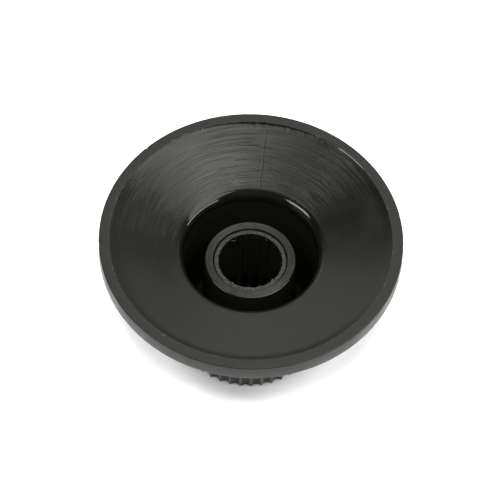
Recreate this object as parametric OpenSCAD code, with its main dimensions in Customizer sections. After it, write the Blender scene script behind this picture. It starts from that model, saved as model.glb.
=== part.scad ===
// Skirted push-on control knob, standing on the end of its fluted grip with
// its open underside facing up. Millimetres. The shaft axis is Z, z = 0 is the
// plane that the grip's end stands on, and the shaft enters from +Z.

/* [Skirt] */
// Outside diameter of the skirt
skirt_d = 28; // [26:0.5:32]
// Overall height, from the grip's end to the skirt's rim
overall_h = 15.4; // [14.5:0.1:18]
// Height of the skirt's upright edge
rim_h = 1.6; // [1.2:0.1:2]
// Width of the flat land round the rim
land_w = 1; // [0.6:0.1:1.4]
// Step from the land down to the dished face
land_step = 0.12; // [0.05:0.01:0.3]
// Slope of the dished face, in degrees
dish_slope = 17; // [12:1:20]

/* [Grip] */
// Diameter over the flutes' ridges at the end of the grip
grip_d = 13.5; // [13:0.1:14]
// Draft of the grip, in degrees
grip_draft = 2.2; // [1:0.1:3]
// Number of flutes round the grip
flute_count = 42; // [30:1:44]
// Depth of each flute
flute_depth = 0.3; // [0.15:0.01:0.35]
// Width left on the ridge between two flutes
ridge_w = 0.16; // [0.1:0.01:0.3]
// Chamfer round the end of the grip
grip_chamfer = 0.1; // [0.05:0.05:0.4]

/* [Well] */
// Diameter of the well where its wall meets the fillet
well_d = 12.5; // [12:0.1:12.8]
// Fillet from the dished face into the well
well_fillet = 0.95; // [0.5:0.05:1.4]
// Draft of the well's wall, in degrees
well_draft = 2.6; // [1.5:0.1:3]
// Height of the well's floor above the grip's end
well_floor_z = 2.1; // [1.9:0.1:3]

/* [Boss] */
// Outside diameter of the boss at its face
boss_d = 8.5; // [8:0.1:9]
// Depth of the boss's face below the rim
boss_recess = 3.65; // [3:0.05:4.5]
// Draft of the boss, in degrees
boss_draft = 1; // [0.5:0.1:2]
// Chamfer round the outside of the boss's face
boss_chamfer = 0.12; // [0.05:0.01:0.2]
// Chamfer at the mouth of the boss's hole
boss_mouth_chamfer = 0.05; // [0.03:0.01:0.2]

/* [Spline bush] */
// Outside diameter of the bush, which is the boss's hole
bush_d = 6.84; // [6.7:0.02:7.2]
// How far the bush's end lies below the boss's face
bush_recess = 0.15; // [0.05:0.01:0.3]
// Chamfer round the outside of the bush's end, which leaves a groove
bush_chamfer = 0.13; // [0.05:0.01:0.15]
// Number of splines
spline_count = 18; // [18:1:24]
// Diameter across the roots of the splines
spline_root_d = 6.06; // [6:0.02:6.2]
// Diameter across the crests of the splines
spline_crest_d = 5.7; // [5.5:0.05:5.8]
// Width of a spline at its root
spline_root_w = 0.62; // [0.3:0.02:0.7]
// Width of a spline at its crest
spline_crest_w = 0.16; // [0.1:0.02:0.3]
// Depth of the bevel on the ends of the splines
bush_lead_in = 0.28; // [0.1:0.02:0.4]
// Depth of the retaining grooves round the bush
bush_groove_depth = 0.12; // [0.05:0.01:0.2]

/* [End cap] */
// Diameter of the cap let into the end of the grip
cap_d = 10.4; // [9.6:0.1:10.8]
// Thickness of the cap's disc
cap_t = 0.8; // [0.6:0.1:1]
// How far the cap lies inside the grip's end
cap_recess = 0.15; // [0.1:0.05:0.3]
// Diameter of the stub that presses into the web
cap_stub_d = 3; // [2:0.1:4]
// Length of the stub
cap_stub_h = 0.6; // [0.4:0.1:0.8]

/* [Hidden] */
$fn = 96;
arc_steps = 12;       // straight spans in a fillet
past = 1;             // how far a cutter runs past the face that it cuts
foot_fillet = 0.35;   // largest fillet that the foot of the well is given
cap_edge_chamfer = 0.12;
groove_h = 0.5;       // height of a retaining groove
groove_zs = [3, 6];   // their heights above the foot of the bush

skirt_r = skirt_d / 2;
dish_r = skirt_r - land_w;              // outer edge of the dished face
dish_top_z = overall_h - land_step;
rim_low_z = overall_h - rim_h;          // lower edge of the rim's side
well_r = well_d / 2;
boss_r = boss_d / 2;
boss_face_z = overall_h - boss_recess;
bush_r = bush_d / 2;
bush_foot_z = well_floor_z + 0.3;
bush_top_z = boss_face_z - bush_recess;
cap_pocket_z = cap_recess + cap_t;      // floor of the cap's pocket
grip_end_r = grip_d / 2;

// Radius over the grip's ridges at height z
function grip_r(z) = grip_end_r + z * tan(grip_draft);

// Height of the dished face at radius r
function dish_z(r) = dish_top_z - (dish_r - r) * tan(dish_slope);

// Radius of the well's wall at height z, with the wall's top at well_top_z
function well_wall_r(z) = well_r - (well_top_z - z) * tan(well_draft);

// The fillet is tangent to the dished face and to the well's drafted wall, so
// its centre is well_fillet away from both.
fillet_c_r = well_r + well_fillet * cos(well_draft);
fillet_c_z = dish_z(fillet_c_r) - well_fillet / cos(dish_slope);
well_top_z = fillet_c_z + well_fillet * sin(well_draft);

// Height of the skirt's outer face at radius r. It runs parallel to the dished
// face from the lower edge of the rim.
function skirt_outer_z(r) = rim_low_z - (skirt_r - r) * tan(dish_slope);

// Height at which the grip's cone meets the skirt's outer face
grip_top_z =
    (rim_low_z - (skirt_r - grip_end_r) * tan(dish_slope))
    / (1 - tan(grip_draft) * tan(dish_slope));

// Points along an arc round c, from angle a to angle b
function arc(c, r, a, b) =
    [for (i = [0 : arc_steps])
        let (t = a + (b - a) * i / arc_steps) c + r * [cos(t), sin(t)]];

// Section of everything hollow above the well's floor: the dish, the well
// round the boss, and the space over the boss's face
function hollow_section() =
    let (
        boss_foot_r = boss_r + (boss_face_z - well_floor_z) * tan(boss_draft),
        wall_foot_r = well_wall_r(well_floor_z),
        fillet = min(foot_fillet, 0.4 * (wall_foot_r - boss_foot_r)),
        boss_c = [boss_foot_r + fillet, well_floor_z + fillet],
        wall_c = [wall_foot_r - fillet, well_floor_z + fillet]
    )
    concat(
        [
            [0, overall_h + past],
            [0, boss_face_z],
            [boss_r - boss_chamfer, boss_face_z],
            [boss_r, boss_face_z - boss_chamfer],
        ],
        arc(boss_c, fillet, 180, 270),
        arc(wall_c, fillet, 270, 360),
        arc([fillet_c_r, fillet_c_z], well_fillet, 180 - well_draft, 90 + dish_slope),
        [
            [dish_r, dish_top_z],
            [dish_r, overall_h],
            [dish_r, overall_h + past],
        ]
    );

// Section of the skirt before it is hollowed. Its outer face carries on to
// skirt_root_r, so that it closes the tops of the flutes.
skirt_root_r = grip_r(grip_top_z) - 2 * flute_depth;
skirt_section = [
    [0, skirt_outer_z(skirt_root_r)],
    [skirt_root_r, skirt_outer_z(skirt_root_r)],
    [skirt_r, rim_low_z],
    [skirt_r, overall_h],
    [0, overall_h],
];

// The grip's plain cone, with its end chamfered. It runs up into the skirt.
grip_join_z = grip_top_z + rim_h / 2;
grip_section = [
    [0, 0],
    [grip_end_r - grip_chamfer, 0],
    [grip_r(grip_chamfer), grip_chamfer],
    [grip_r(grip_join_z), grip_join_z],
    [0, grip_join_z],
];

// Radius of the round cutter that leaves a ridge ridge_w wide
flute_chord = 2 * PI * grip_end_r / flute_count - ridge_w;
flute_r = (pow(flute_chord / 2, 2) + pow(flute_depth, 2)) / (2 * flute_depth);

module flutes() {
    for (i = [0 : flute_count - 1])
        rotate([0, 0, i * 360 / flute_count])
            translate([grip_end_r - flute_depth + flute_r, 0, 0])
                rotate([0, grip_draft, 0])
                    translate([0, 0, -past])
                        cylinder(h = overall_h + past, r = flute_r, $fn = 24);
}

module fluted_grip() {
    difference() {
        rotate_extrude() polygon(grip_section);
        flutes();
    }
}

module knob_body() {
    color("#232426")
    difference() {
        union() {
            fluted_grip();
            rotate_extrude() polygon(skirt_section);
        }
        rotate_extrude() polygon(hollow_section());
        // hole for the bush
        translate([0, 0, bush_foot_z])
            cylinder(h = boss_face_z + past - bush_foot_z, r = bush_r);
        translate([0, 0, boss_face_z - boss_mouth_chamfer])
            cylinder(h = boss_mouth_chamfer, r1 = bush_r, r2 = bush_r + boss_mouth_chamfer);
        // pocket for the cap, and the hole for its stub
        translate([0, 0, -past])
            cylinder(h = cap_pocket_z + past, d = cap_d);
        cylinder(h = cap_pocket_z + cap_stub_h, d = cap_stub_d);
    }
}

// One spline, from the root to its crest, centred on +X. Its root runs on
// past the bore's wall, because the wall is round and the root is straight.
module spline_tooth() {
    crest_r = spline_crest_d / 2;
    root_r = spline_root_d / 2 + 0.05;
    polygon([
        [root_r, -spline_root_w / 2],
        [crest_r, -spline_crest_w / 2],
        [crest_r, spline_crest_w / 2],
        [root_r, spline_root_w / 2],
    ]);
}

module splined_bore() {
    translate([0, 0, bush_foot_z - past])
        linear_extrude(height = bush_top_z - bush_foot_z + 2 * past)
            difference() {
                circle(d = spline_root_d);
                for (i = [0 : spline_count - 1])
                    rotate(i * 360 / spline_count) spline_tooth();
            }
}

module spline_bush() {
    color("#2b2c2e")
    difference() {
        union() {
            translate([0, 0, bush_foot_z])
                cylinder(h = bush_top_z - bush_chamfer - bush_foot_z, r = bush_r);
            translate([0, 0, bush_top_z - bush_chamfer])
                cylinder(h = bush_chamfer, r1 = bush_r, r2 = bush_r - bush_chamfer);
        }
        splined_bore();
        // bevel on the ends of the splines
        translate([0, 0, bush_top_z - bush_lead_in])
            cylinder(h = bush_lead_in, d1 = spline_crest_d, d2 = spline_root_d);
        for (z = groove_zs)
            translate([0, 0, bush_foot_z + z])
                difference() {
                    cylinder(h = groove_h, r = bush_r + past);
                    translate([0, 0, -past])
                        cylinder(h = groove_h + 2 * past, r = bush_r - bush_groove_depth);
                }
    }
}

module end_cap() {
    color("#1d1e20")
    translate([0, 0, cap_recess]) {
        cylinder(h = cap_edge_chamfer, r1 = cap_d / 2 - cap_edge_chamfer, r2 = cap_d / 2);
        translate([0, 0, cap_edge_chamfer])
            cylinder(h = cap_t - cap_edge_chamfer, d = cap_d);
        translate([0, 0, cap_t - 0.01])
            cylinder(h = cap_stub_h + 0.01, d = cap_stub_d);
    }
}

knob_body();
spline_bush();
end_cap();
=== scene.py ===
"""A skirted push-on control knob, standing on the end of its fluted grip with its open underside up.

Sections are in millimetres, as (radius, height) round the shaft's axis, Z. Angles are in degrees from +X,
and the camera stands on the -Y side.
"""
import math

import bpy
import numpy as np
from mathutils import Matrix, Vector


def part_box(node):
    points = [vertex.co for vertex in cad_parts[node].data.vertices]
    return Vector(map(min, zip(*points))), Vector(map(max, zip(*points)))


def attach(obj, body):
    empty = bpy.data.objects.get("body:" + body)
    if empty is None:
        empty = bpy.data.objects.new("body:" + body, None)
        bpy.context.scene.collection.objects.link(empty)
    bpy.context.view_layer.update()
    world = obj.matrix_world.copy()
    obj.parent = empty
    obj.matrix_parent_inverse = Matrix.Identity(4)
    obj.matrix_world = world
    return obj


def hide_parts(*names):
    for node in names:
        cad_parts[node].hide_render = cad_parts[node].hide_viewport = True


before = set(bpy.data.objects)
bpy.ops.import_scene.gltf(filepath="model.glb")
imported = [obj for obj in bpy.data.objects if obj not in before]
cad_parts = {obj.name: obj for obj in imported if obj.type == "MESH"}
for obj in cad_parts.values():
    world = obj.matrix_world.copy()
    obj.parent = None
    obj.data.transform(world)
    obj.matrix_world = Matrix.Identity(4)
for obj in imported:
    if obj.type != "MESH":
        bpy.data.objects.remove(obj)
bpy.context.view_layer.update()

MM = 0.001
rng = np.random.default_rng(18)


# ---------------------------------------------------------------- sizes


def box_mm(name):
    """(radius, lowest height, highest height) of a CAD node, in millimetres."""
    low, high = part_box(name)
    return high.x / MM, low.z / MM, high.z / MM


SKIRT_R, _, TOP = box_mm("knob_body")
BUSH_R, BUSH_FOOT, BUSH_TOP = box_mm("spline_bush")
CAP_R, CAP_Z, CAP_STUB_Z = box_mm("end_cap")

RIM_H = 1.6             # the skirt's upright edge
LAND_W = 1.0            # flat land round the rim
LAND_STEP = 0.12        # from the land down to the dish
DISH_SLOPE = 17.0
GRIP_END_R = 6.75       # over the flutes' ridges
GRIP_DRAFT = 2.2
GRIP_CHAMFER = 0.1
FLUTES = 42
FLUTE_DEPTH = 0.3
RIDGE_W = 0.16
WELL_R = 6.25
WELL_FILLET = 0.95
WELL_DRAFT = 2.6
WELL_FLOOR = 2.1
WELL_POLISH = 0.4       # how far the fillet's polish reaches down the wall
FOOT_FILLET = 0.35
BOSS_R = 4.25
BOSS_FACE = TOP - 3.65
BOSS_DRAFT = 1.0
BOSS_ROUNDING = 0.16    # outer edge of the boss's face
MOUTH_CHAMFER = 0.05    # at the boss's hole
BUSH_CHAMFER = 0.13
GROOVES_ABOVE_FOOT = (3, 6)     # retaining grooves round the bush
GROOVE_H = 0.5
GROOVE_DEPTH = 0.12
SPLINES = 18
SPLINE_ROOT_R = 3.03
SPLINE_CREST_R = 2.85
SPLINE_ROOT_W = 0.62
SPLINE_CREST_W = 0.16
LEAD_IN = 0.28          # bevel on the ends of the splines
CAP_T = 0.8
CAP_STUB_R = 1.5
CAP_HOLLOW = 0.05       # depth of the shallow hollow in the cap's face
JOINT_GAP = 0.02        # hairline between two pieces that are pressed together
SKIRT_ROUNDING = 0.12   # upper edge of the skirt
BROKEN_EDGE = 0.05      # rounding of an edge that is only broken
ONE_SPAN = 9            # a longest step that leaves a stretch of a section whole
ARC_STEP = 11           # longest turn, in degrees, of one span of a rounding


def slope(degrees):
    return math.tan(math.radians(degrees))


DISH_R = SKIRT_R - LAND_W
DISH_TOP = TOP - LAND_STEP
RIM_LOW = TOP - RIM_H
# where the grip's cone meets the skirt's outer face, which runs parallel to the dish
GRIP_TOP = RIM_LOW - (SKIRT_R - GRIP_END_R) * slope(DISH_SLOPE)
GRIP_TOP /= 1 - slope(GRIP_DRAFT) * slope(DISH_SLOPE)


def dish_z(r):
    """Height of the dished face at radius r."""
    return DISH_TOP - (DISH_R - r) * slope(DISH_SLOPE)


def grip_r(z):
    """Radius over the grip's ridges at height z."""
    return GRIP_END_R + z * slope(GRIP_DRAFT)


# ---------------------------------------------------------------- sections and meshes


def unit(vector):
    return vector / np.linalg.norm(vector)


def corner_arc(here, before, after, rounding):
    """Points of the arc that rounds a corner between the one before it and the one after it."""
    back = unit(before - here)
    ahead = unit(after - here)
    half = math.acos(np.clip(back @ ahead, -1, 1)) / 2
    centre = here + unit(back + ahead) * rounding / math.sin(half)
    start = here + back * rounding / math.tan(half) - centre
    end = here + ahead * rounding / math.tan(half) - centre
    turn = math.pi - 2 * half
    spans = max(2, math.ceil(math.degrees(turn) / ARC_STEP))
    weights = [k / spans for k in range(spans + 1)]
    return [
        centre + (math.sin((1 - w) * turn) * start + math.sin(w * turn) * end) / math.sin(turn)
        for w in weights
    ]


def rounded(corners):
    """Section points from corners (radius, height, rounding, longest step, zone).

    The stretch after a corner is cut into equal steps, and its faces belong to the corner's zone. A corner
    with a rounding becomes an arc, whose faces belong to the stretch before it.
    """
    places = [np.array(corner[:2], float) for corner in corners]
    points = []
    for i, (_, _, rounding, _, zone) in enumerate(corners):
        bend = [places[i]]
        if rounding > 0:
            bend = corner_arc(places[i], places[i - 1], places[i + 1], rounding)
        if points:
            came_from, came_zone = points[-1]
            came_step, before = corners[i - 1][3:]
            stretch = bend[0] - came_from
            spans = max(1, round(np.linalg.norm(stretch) / came_step))
            points.extend((came_from + stretch * k / spans, came_zone) for k in range(1, spans))
            points.extend((p, before) for p in bend[:-1])
        points.append((bend[-1], zone))
    return [(float(p[0]), float(p[1]), zone) for p, zone in points]


def crowded_angles(teeth, spans, crowding):
    """Angles in radians, spans to a tooth, closer together where each tooth begins."""
    t = np.arange(spans) / spans
    t = t - crowding * np.sin(2 * np.pi * t) / (2 * np.pi)
    return ((np.arange(teeth)[:, None] + t).ravel()) * 2 * np.pi / teeth


def add_piece(name, vertices, faces, kinds, materials):
    """A new smooth object. vertices are in millimetres, and kinds has the number of each face's material."""
    mesh = bpy.data.meshes.new(name)
    mesh.from_pydata([[c * MM for c in v] for v in vertices], [], faces)
    mesh.polygons.foreach_set("material_index", kinds)
    mesh.polygons.foreach_set("use_smooth", [True] * len(faces))
    for material in materials:
        mesh.materials.append(material)
    mesh.update()
    piece = bpy.data.objects.new(name, mesh)
    bpy.context.scene.collection.objects.link(piece)
    normals = piece.modifiers.new("flat faces stay flat", "WEIGHTED_NORMAL")
    normals.weight = 80
    return piece


def lathe(name, section, angles, shape, materials):
    """A closed mesh that turns a section round Z.

    section is (radius, height, zone) per ring. Where it starts or ends on the axis, a fan closes it, and
    where it does neither its two ends are joined. shape(zones, radius, height, angles) gives the radius and
    height of the points of every ring once they are moved. materials has a material for each zone.
    """
    zones = list(materials)
    starts_on_axis = section[0][0] == 0
    ends_on_axis = section[-1][0] == 0
    rings = section[int(starts_on_axis) : len(section) - int(ends_on_axis)]
    ring_zones = [zone for _, _, zone in rings]
    count = len(angles)
    radius = np.array([r for r, _, _ in rings])[:, None] * np.ones(count)
    height = np.array([z for _, z, _ in rings])[:, None] * np.ones(count)
    radius, height = shape(ring_zones, radius, height, angles)
    points = np.stack([radius * np.cos(angles), radius * np.sin(angles), height], -1)
    vertices = points.reshape(-1, 3).tolist()

    neighbours = list(enumerate(np.roll(np.arange(count), -1)))
    faces = []
    kinds = []
    bands = len(rings) - int(starts_on_axis or ends_on_axis)
    for i in range(bands):
        low = i * count
        high = (i + 1) % len(rings) * count
        faces += [(low + j, low + k, high + k, high + j) for j, k in neighbours]
        kinds += [zones.index(ring_zones[i])] * count

    fans = []
    if starts_on_axis:
        fans.append((section[0], 0, 1))
    if ends_on_axis:
        fans.append((section[-1], (len(rings) - 1) * count, -1))
    for (_, pole_z, zone), first, winding in fans:
        pole = len(vertices)
        vertices.append([0, 0, pole_z])
        faces += [(pole, first + k, first + j)[::winding] for j, k in neighbours]
        kinds += [zones.index(zone)] * count
    return add_piece(name, vertices, faces, kinds, materials.values())


def unchanged(zones, radius, height, angles):
    """The shape of a plain turned piece."""
    return radius, height


def wobble(angles, waves, size):
    """A smooth closed random curve round the axis, about size at its highest."""
    total = np.zeros_like(angles)
    for k in range(1, waves + 1):
        total += rng.normal() * np.cos(k * angles + rng.uniform(0, 2 * np.pi))
    return size * total / max(1e-9, np.abs(total).max())


def swell_at(angles, degrees, width):
    """1 in a direction, falling smoothly to 0 at half the width on either side, in degrees."""
    off = (np.degrees(angles) - degrees + 180) % 360 - 180
    t = np.clip(np.abs(off) / (width / 2), 0, 1)
    return (1 - t * t) ** 2


def soft_least(a, b, blend):
    """The lesser of the two, with the corner between them rounded over about blend."""
    return (a + b - np.sqrt((a - b) ** 2 + blend**2)) / 2


# ---------------------------------------------------------------- the pieces


def well_wall():
    """The drafted wall's foot, where its polish starts, and the corner with the dish, before the fillet."""
    draft = slope(WELL_DRAFT)
    fillet_r = WELL_R + WELL_FILLET * math.cos(math.radians(WELL_DRAFT))
    fillet_z = dish_z(fillet_r) - WELL_FILLET / math.cos(math.radians(DISH_SLOPE))
    top_z = fillet_z + WELL_FILLET * math.sin(math.radians(WELL_DRAFT))
    corner_z = dish_z(WELL_R - top_z * draft) / (1 - draft * slope(DISH_SLOPE))
    return [(WELL_R - (top_z - z) * draft, z) for z in (WELL_FLOOR, top_z - WELL_POLISH, corner_z)]


def body_section():
    """The knob's section, from the foot of the bush's hole over the dish and round to the cap's pocket."""
    boss_foot_r = BOSS_R + (BOSS_FACE - WELL_FLOOR) * slope(BOSS_DRAFT)
    wall_foot, wall_polish, dish_corner = well_wall()
    pocket_z = CAP_Z + CAP_T
    pocket_r = CAP_R + JOINT_GAP
    stub_hole_r = CAP_STUB_R + JOINT_GAP
    return rounded(
        [
            (0, BUSH_FOOT, 0, ONE_SPAN, "well"),
            (BUSH_R, BUSH_FOOT, BROKEN_EDGE, ONE_SPAN, "well"),
            (BUSH_R, BOSS_FACE - MOUTH_CHAMFER, 0, ONE_SPAN, "well"),
            (BUSH_R + MOUTH_CHAMFER, BOSS_FACE, 0.03, 0.15, "faced"),
            (BOSS_R - BOSS_ROUNDING - 0.01, BOSS_FACE, 0, ONE_SPAN, "gloss"),
            (BOSS_R, BOSS_FACE, BOSS_ROUNDING, 1.5, "well"),
            (boss_foot_r, WELL_FLOOR, FOOT_FILLET, ONE_SPAN, "well"),
            (*wall_foot, FOOT_FILLET, 1.5, "well"),
            (*wall_polish, 0, ONE_SPAN, "gloss"),
            (*dish_corner, WELL_FILLET, 0.3, "turned"),
            (DISH_R, DISH_TOP, 0.04, ONE_SPAN, "land"),
            (DISH_R + 0.02, TOP, BROKEN_EDGE, 0.4, "land"),
            (SKIRT_R, TOP, SKIRT_ROUNDING, 0.8, "side"),
            (SKIRT_R, RIM_LOW, 0.2, 1.2, "side"),
            (grip_r(GRIP_TOP), GRIP_TOP, 0.3, 1.2, "moulded"),
            (grip_r(GRIP_CHAMFER), GRIP_CHAMFER, BROKEN_EDGE, ONE_SPAN, "moulded"),
            (GRIP_END_R - GRIP_CHAMFER, 0, BROKEN_EDGE, 0.5, "moulded"),
            (pocket_r + 0.03, 0, BROKEN_EDGE, ONE_SPAN, "moulded"),
            (pocket_r, pocket_z, 0, ONE_SPAN, "moulded"),
            (stub_hole_r, pocket_z, 0, ONE_SPAN, "moulded"),
            (stub_hole_r, CAP_STUB_Z, 0, ONE_SPAN, "moulded"),
            (0, CAP_STUB_Z, 0, ONE_SPAN, "moulded"),
        ]
    )


def fluted(radius, height, angles):
    """The radii with the flutes cut into the grip by a round cutter. They run out below the skirt."""
    chord = 2 * math.pi * GRIP_END_R / FLUTES - RIDGE_W
    cutter_r = ((chord / 2) ** 2 + FLUTE_DEPTH**2) / (2 * FLUTE_DEPTH)
    on_grip = (height < GRIP_TOP + 0.2) & (radius > CAP_R + 0.3)
    runout = np.clip((GRIP_TOP - 0.05 - height) / 0.5, 0, 1)
    runout = runout * runout * (3 - 2 * runout)
    axis_r = grip_r(height) - FLUTE_DEPTH * runout + cutter_r
    pitch = 2 * math.pi / FLUTES
    off_centre = angles % pitch - pitch / 2
    inside = np.maximum(cutter_r**2 - (axis_r * np.sin(off_centre)) ** 2, 0)
    cut = axis_r * np.cos(off_centre) - np.sqrt(inside)
    softened = soft_least(radius, cut, 0.03)
    return np.where(on_grip & (runout > 0), np.minimum(radius, softened), radius)


def uneven_step(radius, height, angles):
    """The step inside the land. It is full only at the back, and elsewhere the dish comes up to meet it."""
    full_step = swell_at(angles, 87, 90)
    near_step = np.clip(1 - (DISH_R - radius) / 0.6, 0, 1) ** 2 * (radius < DISH_R + 0.3)
    near_step = near_step * (height > DISH_TOP - 0.5)
    under_step = np.exp(-(((DISH_R - radius) / 0.2) ** 2)) * (height < DISH_TOP + 0.05) * near_step
    height = height + near_step * (1 - full_step) * (TOP - height)
    height = height - under_step * full_step * (0.09 + wobble(angles, 170, 0.06))
    on_step = np.exp(-(((radius - DISH_R) / 0.12) ** 2)) * (height > DISH_TOP - 0.1)
    radius = radius + on_step * (wobble(angles, 60, 0.025) + wobble(angles, 9, 0.02))
    return radius, height


def knocked_edge(radius, height, angles):
    """Small knocks on the skirt's sharp upper edge."""
    # (direction, width in degrees, depth)
    knocks = [(184.5, 1.3, 0.10), (136.0, 1.6, 0.09), (-1.0, 1.2, 0.10)]
    on_edge = np.exp(-(((radius - SKIRT_R) / 0.14) ** 2) - ((height - TOP) / 0.14) ** 2)
    for degrees, width, depth in knocks:
        knock = swell_at(angles, degrees, width) * depth
        height = height - on_edge * knock
        radius = radius - on_edge * knock
    return radius, height


def shape_body(zones, radius, height, angles):
    """Cuts the flutes, and gives the edges the unevenness of real ones."""
    radius = fluted(radius, height, angles)
    radius, height = uneven_step(radius, height, angles)
    return knocked_edge(radius, height, angles)


def make_body(materials):
    angles = crowded_angles(FLUTES, 17, 0.6)
    body = lathe("knob", body_section(), angles, shape_body, materials)
    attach(body, "root")
    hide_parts("knob_body")
    return body


def bush_section():
    """The bush's section, up its outside, over its end and down its bore."""
    outer = BUSH_R - JOINT_GAP
    groove_r = BUSH_R - GROOVE_DEPTH
    spline_r = SPLINE_ROOT_R - 0.001
    corners = [
        (SPLINE_ROOT_R, BUSH_FOOT, 0, ONE_SPAN, "sleeve"),
        (outer, BUSH_FOOT, BROKEN_EDGE, ONE_SPAN, "sleeve"),
    ]
    for above_foot in GROOVES_ABOVE_FOOT:
        low = BUSH_FOOT + above_foot
        high = low + GROOVE_H
        corners += [
            (r, z, 0, ONE_SPAN, "sleeve")
            for r, z in ((outer, low), (groove_r, low), (groove_r, high), (outer, high))
        ]
    corners += [
        (outer, BUSH_TOP - BUSH_CHAMFER, 0.03, ONE_SPAN, "sleeve"),
        (outer - BUSH_CHAMFER, BUSH_TOP, 0.03, 0.07, "face"),
        (SPLINE_ROOT_R, BUSH_TOP, 0.03, 0.05, "bore"),
        (spline_r, BUSH_TOP - LEAD_IN, 0, 0.1, "bore"),
        (spline_r, BUSH_TOP - 2 * LEAD_IN, 0, 3, "bore"),
        (SPLINE_ROOT_R, BUSH_FOOT + 0.001, 0, ONE_SPAN, "bore"),
    ]
    return rounded(corners)


def splined(zones, radius, height, angles):
    """The radii with the splines raised inside the bore. Their ends are bevelled at its mouth."""
    pitch = 2 * math.pi / SPLINES
    depth = SPLINE_ROOT_R - SPLINE_CREST_R
    off_centre = np.abs((angles + pitch / 2) % pitch - pitch / 2) * SPLINE_ROOT_R
    flank = (off_centre - SPLINE_CREST_W / 2) / (SPLINE_ROOT_W / 2 - SPLINE_CREST_W / 2)
    flank = np.clip(flank, 0, 1)
    tooth = SPLINE_CREST_R + depth * (flank * flank * (3 - 2 * flank) + flank) / 2
    bevel = SPLINE_ROOT_R - depth * (BUSH_TOP - height) / LEAD_IN
    bevelled = -soft_least(-tooth[None, :], -bevel, 0.02)
    in_bore = np.array([zone == "bore" for zone in zones])[:, None] & (radius < SPLINE_ROOT_R + 0.01)
    return np.where(in_bore, np.minimum(radius, bevelled), radius)


def ragged_mouth(radius, height, angles):
    """Flash round the bore's mouth, and an outer lip that nearly closes the groove round the bush."""
    # (direction, width in degrees, reach into the bore, height) of the larger scraps of flash
    flash = [(-122, 9, 0.06, 0.04), (-91, 16, 0.05, 0.03), (-72, 13, 0.08, 0.06), (-44, 10, 0.1, 0.05)]
    at_mouth = np.exp(-(((radius - SPLINE_ROOT_R) / 0.06) ** 2) - ((height - BUSH_TOP) / 0.05) ** 2)
    reach = 0.08 + wobble(angles, 80, 0.03) + wobble(angles, 30, 0.02)
    rise = np.abs(wobble(angles, 90, 0.03))
    for degrees, width, inward, up in flash:
        scrap = swell_at(angles, degrees, width)
        reach = reach + scrap * inward
        rise = rise + scrap * up

    # the lip is spread most of all in front
    lip_r = BUSH_R - JOINT_GAP - BUSH_CHAMFER
    at_lip = np.exp(-(((radius - lip_r) / 0.05) ** 2) - ((height - BUSH_TOP) / 0.05) ** 2)
    spread = 0.06 + wobble(angles, 25, 0.03) + 0.04 * swell_at(angles, -90, 200)
    return radius - at_mouth * reach + at_lip * spread, height + at_mouth * rise


def shape_bush(zones, radius, height, angles):
    """Raises the splines and leaves the cut end ragged."""
    radius = splined(zones, radius, height, angles)
    return ragged_mouth(radius, height, angles)


def make_bush(materials):
    angles = crowded_angles(SPLINES, 40, 0.2)
    bush = lathe("splined_bush", bush_section(), angles, shape_bush, materials)
    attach(bush, "root")
    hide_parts("spline_bush")
    return bush


def make_cap(materials):
    disc_top = CAP_Z + CAP_T
    hollow_z = CAP_Z + CAP_HOLLOW
    section = rounded(
        [
            (0, hollow_z, 0, 0.4, "cap"),
            (CAP_R - 1.1, hollow_z, 0.2, 0.3, "cap"),
            (CAP_R - 0.8, CAP_Z, 0.2, 0.3, "cap"),
            (CAP_R, CAP_Z, 0.12, ONE_SPAN, "cap"),
            (CAP_R, disc_top, BROKEN_EDGE, ONE_SPAN, "cap"),
            (CAP_STUB_R, disc_top, 0, ONE_SPAN, "cap"),
            (CAP_STUB_R, CAP_STUB_Z, BROKEN_EDGE, ONE_SPAN, "cap"),
            (0, CAP_STUB_Z, 0, ONE_SPAN, "cap"),
        ]
    )
    angles = crowded_angles(1, 360, 0)
    cap = lathe("grip_end_cap", section, angles, unchanged, materials)
    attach(cap, "root")
    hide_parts("end_cap")
    return cap


# ---------------------------------------------------------------- materials

SHEEN_TINT = (1.0, 1.0, 0.93, 1.0)
BLACK = (0.0016, 0.0017, 0.0013)
GREYER = (0.0042, 0.0043, 0.0034)
DULL_BLACK = (0.0036, 0.0036, 0.0026)
# pale lines painted along the turned rings as highlights
RING_HIGHLIGHT_GREY = (0.011, 0.011, 0.0105)
# grey of the grip: partly wear, partly painted light for the floor's reflection in the flutes
GRIP_WEAR_AND_SHEEN_GREY = (0.035, 0.035, 0.032)
CUT_GREY = (0.024, 0.024, 0.022)
DUST = (0.04, 0.04, 0.038)
# the pale colour of painted highlights and glints
PAINTED_HIGHLIGHT = (0.12, 0.12, 0.115)

# directions, in degrees from +Y towards +X
WELD_FROM_BACK = 5.0
# where the painted highlight on the step inside the land lies
LAND_HIGHLIGHT_FROM_BACK = 44.0
MARKS_FROM_BACK = -15.0

# the colour sockets of a Mix node, by their place among its inputs and outputs
MIX_A = 6
MIX_B = 7
MIX_OUT = 2


def node(tree, kind, inputs=None, **settings):
    """A new node. An input is set to a value or linked from a socket."""
    made = tree.nodes.new(kind)
    for key, value in settings.items():
        setattr(made, key, value)
    for key, value in (inputs or {}).items():
        if isinstance(value, bpy.types.NodeSocket):
            tree.links.new(value, made.inputs[key])
        else:
            made.inputs[key].default_value = value
    return made


def maths(tree, operation, a, b=0.0, c=0.0):
    """The result of a Math node."""
    return node(tree, "ShaderNodeMath", {0: a, 1: b, 2: c}, operation=operation).outputs[0]


def between(tree, value, low, high, to_low=0.0, to_high=1.0):
    """value mapped smoothly from low..high to to_low..to_high, and held at either end."""
    inputs = {"Value": value, "From Min": low, "From Max": high, "To Min": to_low, "To Max": to_high}
    return node(tree, "ShaderNodeMapRange", inputs, interpolation_type="SMOOTHSTEP").outputs[0]


def noise(tree, vector, scale, detail=2.0):
    """Soft noise from 0 to 1, with scale grains to a metre."""
    inputs = {"Vector": vector, "Scale": scale, "Detail": detail}
    return node(tree, "ShaderNodeTexNoise", inputs).outputs["Fac"]


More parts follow.
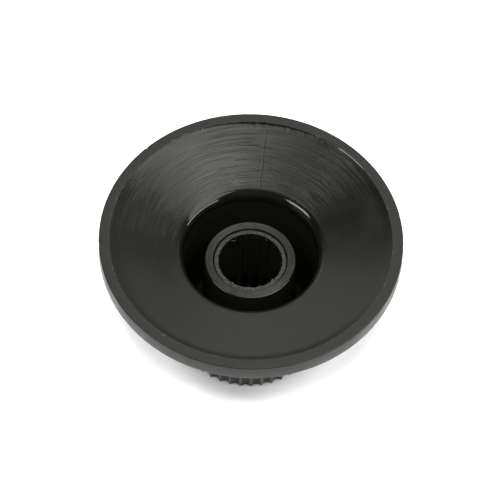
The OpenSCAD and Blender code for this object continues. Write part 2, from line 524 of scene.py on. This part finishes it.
class Polar:
    """Radius and direction round Z of a point on the surface, as sockets, in metres."""

    def __init__(self, tree):
        self.tree = tree
        self.place = node(tree, "ShaderNodeTexCoord").outputs["Object"]
        split = node(tree, "ShaderNodeSeparateXYZ", {0: self.place})
        flat = node(tree, "ShaderNodeCombineXYZ", {"X": split.outputs["X"], "Y": split.outputs["Y"]})
        length = node(tree, "ShaderNodeVectorMath", {0: flat.outputs[0]}, operation="LENGTH")
        heading = node(tree, "ShaderNodeVectorMath", {0: flat.outputs[0]}, operation="NORMALIZE")
        self.radius = length.outputs["Value"]
        self.direction = heading.outputs["Vector"]
        self.to_the_back = split.outputs["Y"]
        self.height = split.outputs["Z"]

    def towards(self, degrees_from_back):
        """1 in a direction round Z, falling to -1 opposite it. The direction is from +Y towards +X."""
        turn = math.radians(degrees_from_back)
        inputs = {0: self.direction, 1: (math.sin(turn), math.cos(turn), 0)}
        return node(self.tree, "ShaderNodeVectorMath", inputs, operation="DOT_PRODUCT").outputs["Value"]

    def streaks(self, width_mm, arcs, detail=2.0, shift=0.0):
        """Noise drawn out round the axis, width_mm across, arcs to about a radian. shift picks another."""
        tree = self.tree
        across = maths(tree, "MULTIPLY_ADD", self.radius, 1 / (width_mm * MM), shift)
        along = node(tree, "ShaderNodeVectorMath", {0: self.direction, "Scale": arcs}, operation="SCALE")
        ends = node(tree, "ShaderNodeSeparateXYZ", {0: along.outputs["Vector"]})
        inputs = {"X": ends.outputs["X"], "Y": ends.outputs["Y"], "Z": across}
        vector = node(tree, "ShaderNodeCombineXYZ", inputs)
        return noise(tree, vector.outputs[0], 1.0, detail)


def bump(tree, height, size_mm):
    """A normal bumped by height, which runs from 0 to 1, over size_mm."""
    inputs = {"Height": height, "Distance": size_mm * MM, "Strength": 1.0}
    return node(tree, "ShaderNodeBump", inputs).outputs["Normal"]


def plastic(name):
    """(material, tree, shader, polar coordinates) of a new plastic."""
    material = bpy.data.materials.new(name)
    material.use_nodes = True
    tree = material.node_tree
    tree.nodes.clear()
    shader = node(tree, "ShaderNodeBsdfPrincipled", {"IOR": 1.5, "Specular Tint": SHEEN_TINT})
    node(tree, "ShaderNodeOutputMaterial", {"Surface": shader.outputs[0]})
    return material, tree, shader, Polar(tree)


def shade_socket(tree, fac, dark, light):
    """A colour from dark, a socket, to light, a colour."""
    inputs = {0: fac, MIX_A: dark, MIX_B: (*light, 1)}
    return node(tree, "ShaderNodeMix", inputs, data_type="RGBA").outputs[MIX_OUT]


def shade(tree, fac, dark, light):
    """A colour between two colours."""
    return shade_socket(tree, fac, (*dark, 1), light)


def weld_line(tree, polar):
    """1 along the fine line that the mould leaves across the dish and the fillet, and 0 elsewhere."""
    turn = math.radians(WELD_FROM_BACK)
    inputs = {0: polar.place, 1: (math.cos(turn), -math.sin(turn), 0)}
    sideways = node(tree, "ShaderNodeVectorMath", inputs, operation="DOT_PRODUCT").outputs["Value"]
    wander = maths(tree, "MULTIPLY_ADD", noise(tree, polar.place, 450, 1), 0.3 * MM, -0.15 * MM)
    off_line = maths(tree, "ABSOLUTE", maths(tree, "ADD", sideways, wander))
    on_line = between(tree, off_line, 0.02 * MM, 0.09 * MM, 1.0, 0.0)
    behind = maths(tree, "GREATER_THAN", polar.to_the_back, 0.0)
    return maths(tree, "MULTIPLY", on_line, behind)


def finish_plastic(tree, shader, links):
    """Links a socket to each of the shader's named inputs."""
    for key, socket in links.items():
        tree.links.new(socket, shader.inputs[key])


def turned_plastic(name, roughness, anisotropy, all_round):
    """A turned face. Its broken rings reflect as a fan, and are deepest at the back unless all_round. Pale
    lines painted along the rings stand in for their highlights, and are strongest at the back too.
    """
    material, tree, shader, polar = plastic(name)
    marked = 1.0 if all_round else between(tree, polar.towards(MARKS_FROM_BACK), 0.1, 0.6)
    rings = polar.streaks(0.11, 2.6, detail=2, shift=7)
    rings = maths(tree, "MULTIPLY", rings, maths(tree, "MULTIPLY_ADD", marked, 0.8, 0.2))
    broad = polar.streaks(0.8, 1.6, detail=2, shift=13)
    grit = noise(tree, polar.place, 7500, 1)
    cut = between(tree, polar.streaks(0.12, 2.2, detail=0, shift=31), 0.6, 0.68)
    cut = maths(tree, "MULTIPLY", cut, marked)
    # pale lines in the colour: painted highlights along the rings, strongest at the back
    pale = between(tree, polar.streaks(0.085, 3.2, detail=1, shift=61), 0.5, 0.68)
    pale = maths(tree, "MULTIPLY", pale, marked)
    height = maths(tree, "MULTIPLY_ADD", grit, 0.6, rings)
    height = maths(tree, "MULTIPLY_ADD", broad, 1.2, height)
    height = maths(tree, "MULTIPLY_ADD", cut, -0.9, height)
    height = maths(tree, "SUBTRACT", height, weld_line(tree, polar))
    blotch = noise(tree, polar.place, 300, 3)
    worn = maths(tree, "MULTIPLY_ADD", cut, 0.3, blotch)
    finish_plastic(
        tree,
        shader,
        {
            "Base Color": shade_socket(tree, pale, shade(tree, blotch, BLACK, GREYER), RING_HIGHLIGHT_GREY),
            "Roughness": between(tree, worn, 0.3, 0.75, *roughness),
            "Normal": bump(tree, height, 0.011),
            "Tangent": node(tree, "ShaderNodeTangent", direction_type="RADIAL", axis="Z").outputs[0],
        },
    )
    shader.inputs["Anisotropic"].default_value = anisotropy
    shader.inputs["Anisotropic Rotation"].default_value = 0.25
    return material


def land_edge_highlight(tree, polar):
    """1 along a thin painted highlight on the step at the land's inner edge, and 0 elsewhere."""
    facing = polar.towards(LAND_HIGHLIGHT_FROM_BACK)
    along = between(tree, facing, math.cos(math.radians(8)), math.cos(math.radians(5)))
    across = between(tree, polar.radius, (DISH_R + 0.05) * MM, (DISH_R + 0.13) * MM, 1.0, 0.0)
    return maths(tree, "MULTIPLY", along, across)


def land_plastic():
    """The flat land, with fine rings, a painted highlight on the step at its inner edge, and dust where it
    meets the dish.
    """
    material, tree, shader, polar = plastic("black plastic, land")
    fine = polar.streaks(0.06, 6, detail=3, shift=3)
    grain = noise(tree, polar.place, 9000, 2)
    blotch = noise(tree, polar.place, 260, 3)
    colour = shade(tree, blotch, BLACK, GREYER)
    inner_edge = between(tree, polar.radius, (DISH_R + 0.05) * MM, (DISH_R + 0.25) * MM, 1.0, 0.0)
    specks = between(tree, polar.streaks(0.12, 34, detail=2, shift=17), 0.6, 0.68)
    colour = shade_socket(tree, maths(tree, "MULTIPLY", inner_edge, specks), colour, DUST)
    # a thin painted highlight on the step at the land's inner edge
    colour = shade_socket(tree, land_edge_highlight(tree, polar), colour, PAINTED_HIGHLIGHT)
    finish_plastic(
        tree,
        shader,
        {
            "Base Color": colour,
            "Roughness": between(tree, blotch, 0.3, 0.7, 0.34, 0.44),
            "Normal": bump(tree, maths(tree, "MULTIPLY_ADD", fine, 0.5, grain), 0.003),
        },
    )
    return material


def gloss_plastic():
    """The well's fillet and the boss's edge, which keep the mould's polish."""
    material, tree, shader, polar = plastic("black plastic, polished")
    rings = polar.streaks(0.12, 4, detail=2, shift=5)
    rings = maths(tree, "SUBTRACT", rings, weld_line(tree, polar))
    blotch = noise(tree, polar.place, 500, 3)
    finish_plastic(
        tree,
        shader,
        {
            "Base Color": shade(tree, blotch, BLACK, GREYER),
            "Roughness": between(tree, blotch, 0.3, 0.7, 0.09, 0.16),
            "Normal": bump(tree, rings, 0.002),
        },
    )
    return material


def cut_plastic(name):
    """A rough cut end, patchy and paler than the rest."""
    material, tree, shader, polar = plastic(name)
    grain = noise(tree, polar.place, 6000, 2)
    patches = between(tree, noise(tree, polar.place, 3800, 2), 0.4, 0.7)
    finish_plastic(
        tree,
        shader,
        {
            "Base Color": shade(tree, patches, BLACK, CUT_GREY),
            "Roughness": between(tree, patches, 0, 1, 0.3, 0.45),
            "Normal": bump(tree, grain, 0.02),
        },
    )
    return material


def dull_plastic(name, glinting=False):
    """The deep walls of the well or the socket. glinting paints glints, pale specks, just inside the
    socket's mouth.
    """
    material, tree, shader, polar = plastic(name)
    grain = noise(tree, polar.place, 9000, 2)
    blotch = noise(tree, polar.place, 600, 3)
    colour = shade(tree, blotch, DULL_BLACK, tuple(1.5 * c for c in DULL_BLACK))
    if glinting:
        at_mouth = between(tree, polar.height, (BUSH_TOP - 0.9) * MM, (BUSH_TOP - 0.4) * MM)
        # painted glints on the splines' ends
        specks = between(tree, noise(tree, polar.place, 3200, 0), 0.74, 0.78)
        colour = shade_socket(tree, maths(tree, "MULTIPLY", at_mouth, specks), colour, PAINTED_HIGHLIGHT)
    finish_plastic(
        tree,
        shader,
        {
            "Base Color": colour,
            "Roughness": between(tree, blotch, 0.3, 0.7, 0.6, 0.75),
            "Normal": bump(tree, grain, 0.004),
        },
    )
    shader.inputs["Specular IOR Level"].default_value = 0.0
    return material


def moulded_plastic(name, rough_low, rough_high, grain_mm, specular=0.5):
    """A plain moulded face with a fine grain."""
    material, tree, shader, polar = plastic(name)
    grain = noise(tree, polar.place, 7000, 3)
    blotch = noise(tree, polar.place, 400, 3)
    finish_plastic(
        tree,
        shader,
        {
            "Base Color": shade(tree, blotch, BLACK, GREYER),
            "Roughness": between(tree, blotch, 0.3, 0.7, rough_low, rough_high),
            "Normal": bump(tree, grain, grain_mm),
        },
    )
    shader.inputs["Specular IOR Level"].default_value = specular
    return material


def grip_plastic():
    """The handled grip, worn grey, partly wear and partly painted light for the floor's reflection, with
    painted highlights that make it palest on the ridges between the flutes.
    """
    material, tree, shader, polar = plastic("black plastic, grip")
    grain = noise(tree, polar.place, 7000, 3)
    blotch = noise(tree, polar.place, 400, 3)
    # the radius that this point would have at the end of the grip
    end_radius = maths(tree, "MULTIPLY_ADD", polar.height, -slope(GRIP_DRAFT), polar.radius)
    # painted highlights along the ridges between the flutes
    ridge_highlight = between(tree, end_radius, (GRIP_END_R - 0.12) * MM, (GRIP_END_R - 0.03) * MM)
    on_grip = between(tree, end_radius, (GRIP_END_R + 0.15) * MM, (GRIP_END_R + 0.5) * MM, 1.0, 0.0)
    # grey that is partly wear and partly painted light, brightening the flutes as the floor's reflection
    # does
    worn_and_lit = shade(tree, blotch, BLACK, GRIP_WEAR_AND_SHEEN_GREY)
    ridge_highlighted = shade_socket(tree, maths(tree, "MULTIPLY", ridge_highlight, 0.4), worn_and_lit, PAINTED_HIGHLIGHT)
    black = shade(tree, blotch, BLACK, GREYER)
    inputs = {0: on_grip, MIX_A: black, MIX_B: ridge_highlighted}
    colour = node(tree, "ShaderNodeMix", inputs, data_type="RGBA").outputs[MIX_OUT]
    finish_plastic(
        tree,
        shader,
        {
            "Base Color": colour,
            "Roughness": between(tree, blotch, 0.3, 0.7, 0.36, 0.46),
            "Normal": bump(tree, grain, 0.002),
        },
    )
    return material


# ---------------------------------------------------------------- camera, floor and light

AIM = Vector((0, 0, TOP * MM))
CAMERA_ELEVATION = 57.0
CAMERA_DISTANCE = 0.308
CAMERA_ROLL = 2.1
LENS = 241.6
FRAME_CENTRE_DOWN = 0.00108     # the frame's centre lies this far below AIM, across the view
FRAME_CENTRE_LEFT = 0.000065
LIGHT_DISTANCE = 0.4
LAMP_SPREAD = 12.0              # how wide a table lamp looks, in degrees
TENT_RADIANCE = 0.1
FLOOR_WHITE = 0.9
FLOOR_SIZE = 6.0


def make_camera():
    elevation = math.radians(CAMERA_ELEVATION)
    back = Vector((0, -math.cos(elevation), math.sin(elevation)))
    up = Vector((0, math.sin(elevation), math.cos(elevation)))
    data = bpy.data.cameras.new("camera")
    data.lens = LENS
    data.sensor_width = 36
    data.clip_start = 0.01
    data.clip_end = 10
    camera = bpy.data.objects.new("camera", data)
    bpy.context.scene.collection.objects.link(camera)
    place = AIM + back * CAMERA_DISTANCE
    target = AIM - up * FRAME_CENTRE_DOWN - Vector((1, 0, 0)) * FRAME_CENTRE_LEFT
    facing = (target - place).to_track_quat("-Z", "Y").to_matrix().to_4x4()
    roll = Matrix.Rotation(math.radians(CAMERA_ROLL), 4, "Z")
    camera.matrix_world = Matrix.Translation(place) @ facing @ roll
    bpy.context.scene.camera = camera


def make_floor():
    half = FLOOR_SIZE / 2
    corners = [(-half, -half, 0), (half, -half, 0), (half, half, 0), (-half, half, 0)]
    mesh = bpy.data.meshes.new("floor")
    mesh.from_pydata(corners, [], [(0, 1, 2, 3)])
    floor = bpy.data.objects.new("floor", mesh)
    bpy.context.scene.collection.objects.link(floor)
    material = bpy.data.materials.new("white table")
    material.use_nodes = True
    shader = material.node_tree.nodes["Principled BSDF"]
    shader.inputs["Base Color"].default_value = (FLOOR_WHITE, FLOOR_WHITE, FLOOR_WHITE, 1)
    shader.inputs["Roughness"].default_value = 0.9
    shader.inputs["Specular IOR Level"].default_value = 0.1
    mesh.materials.append(material)


def sky(azimuth, elevation):
    """A unit direction. Azimuth is in degrees from the back, +Y, towards the right, +X."""
    across = math.cos(math.radians(elevation))
    turn = math.radians(azimuth)
    return Vector((math.sin(turn) * across, math.cos(turn) * across, math.sin(math.radians(elevation))))


def hang(data, towards):
    """Places a light in a direction from the knob, so that it faces the knob."""
    light = bpy.data.objects.new(data.name, data)
    bpy.context.scene.collection.objects.link(light)
    light.location = AIM + towards * LIGHT_DISTANCE
    light.rotation_mode = "QUATERNION"
    light.rotation_quaternion = towards.to_track_quat("Z", "Y")
    return light


def softbox(name, towards, width, depth, radiance):
    """A lit panel. Its power follows from the radiance that it should have."""
    data = bpy.data.lights.new(name, "AREA")
    data.shape = "RECTANGLE"
    data.size = width
    data.size_y = depth
    data.energy = radiance * math.pi * width * depth
    hang(data, towards).visible_camera = False


def table_lamp(name, towards, level):
    """A far lamp that brightens the table by level, with a soft shadow. It is left out of the gloss."""
    data = bpy.data.lights.new(name, "SUN")
    data.energy = level * math.pi / (FLOOR_WHITE * towards.z)
    data.angle = math.radians(LAMP_SPREAD)
    hang(data, towards).visible_glossy = False


def make_lights():
    softbox("left softbox", sky(-112, 38), 0.2, 0.13, 7.0)
    softbox("right softbox", sky(108, 46), 0.3, 0.34, 2.5)
    softbox("overhead softbox", sky(47, 78), 0.2, 0.13, 2.4)
    softbox("low right strip", sky(109, 12), 0.37, 0.055, 7.5)
    table_lamp("left table lamp", sky(-116, 64), 0.43)
    table_lamp("front table lamp", sky(184, 70), 0.8)
    table_lamp("right table lamp", sky(124, 64), 0.43)


def make_world():
    """The white tent round the table: what the gloss reflects of it, and the even light that it gives.

    Each glow is (azimuth, elevation, sharpness, radiance). The camera itself sees plain white.
    """
    glows = [
        (0, 86, 20, 1.5),       # above the knob
        (60, 66, 40, 0.7),      # between the overhead and the right softbox
        (0, 46, 25, 1.8),       # high on the tent's back
        (0, 20, 25, 0.6),       # low on its back
        (-35, 25, 20, 1.0),     # low on its left
        (30, 22, 20, 0.45),     # low on its right
        (55, 27, 20, 0.4),
        (180, 25, 6, 0.12),     # the dim room behind the camera
    ]
    world = bpy.data.worlds.new("studio")
    bpy.context.scene.world = world
    world.use_nodes = True
    tree = world.node_tree
    tree.nodes.clear()
    direction = node(tree, "ShaderNodeTexCoord").outputs["Generated"]
    level = 0.0
    for azimuth, elevation, sharpness, radiance in glows:
        inputs = {0: direction, 1: sky(azimuth, elevation)}
        facing = node(tree, "ShaderNodeVectorMath", inputs, operation="DOT_PRODUCT").outputs["Value"]
        glow = maths(tree, "EXPONENT", maths(tree, "MULTIPLY_ADD", facing, sharpness, -sharpness))
        level = maths(tree, "MULTIPLY_ADD", glow, radiance, level)
    reflected = node(tree, "ShaderNodeBackground", {"Strength": level, "Color": (1, 1, 1, 1)})
    even = node(tree, "ShaderNodeBackground", {"Strength": TENT_RADIANCE, "Color": (1, 1, 1, 1)})
    white = node(tree, "ShaderNodeBackground", {"Strength": 1.0, "Color": (1, 1, 1, 1)})
    path = node(tree, "ShaderNodeLightPath").outputs
    inputs = {0: path["Is Diffuse Ray"], 1: reflected.outputs[0], 2: even.outputs[0]}
    lit = node(tree, "ShaderNodeMixShader", inputs)
    inputs = {0: path["Is Camera Ray"], 1: lit.outputs[0], 2: white.outputs[0]}
    seen = node(tree, "ShaderNodeMixShader", inputs)
    node(tree, "ShaderNodeOutputWorld", {"Surface": seen.outputs[0]})


# ---------------------------------------------------------------- the scene

make_camera()
make_floor()
make_world()
make_lights()
bpy.context.scene.view_settings.view_transform = "Standard"

make_body(
    {
        "gloss": gloss_plastic(),
        "turned": turned_plastic("black plastic, dish", (0.23, 0.33), 0.5, all_round=False),
        "faced": turned_plastic("black plastic, boss", (0.3, 0.4), 0.75, all_round=True),
        "land": land_plastic(),
        "well": dull_plastic("black plastic, well"),
        "side": moulded_plastic("black plastic, skirt side", 0.32, 0.42, 0.002, specular=0.17),
        "moulded": grip_plastic(),
    }
)
make_bush(
    {
        "sleeve": moulded_plastic("bush plastic, moulded", 0.3, 0.4, 0.002),
        "face": cut_plastic("bush plastic, end face"),
        "bore": dull_plastic("bush plastic, bore", glinting=True),
    }
)
make_cap({"cap": moulded_plastic("cap plastic", 0.25, 0.35, 0.001)})
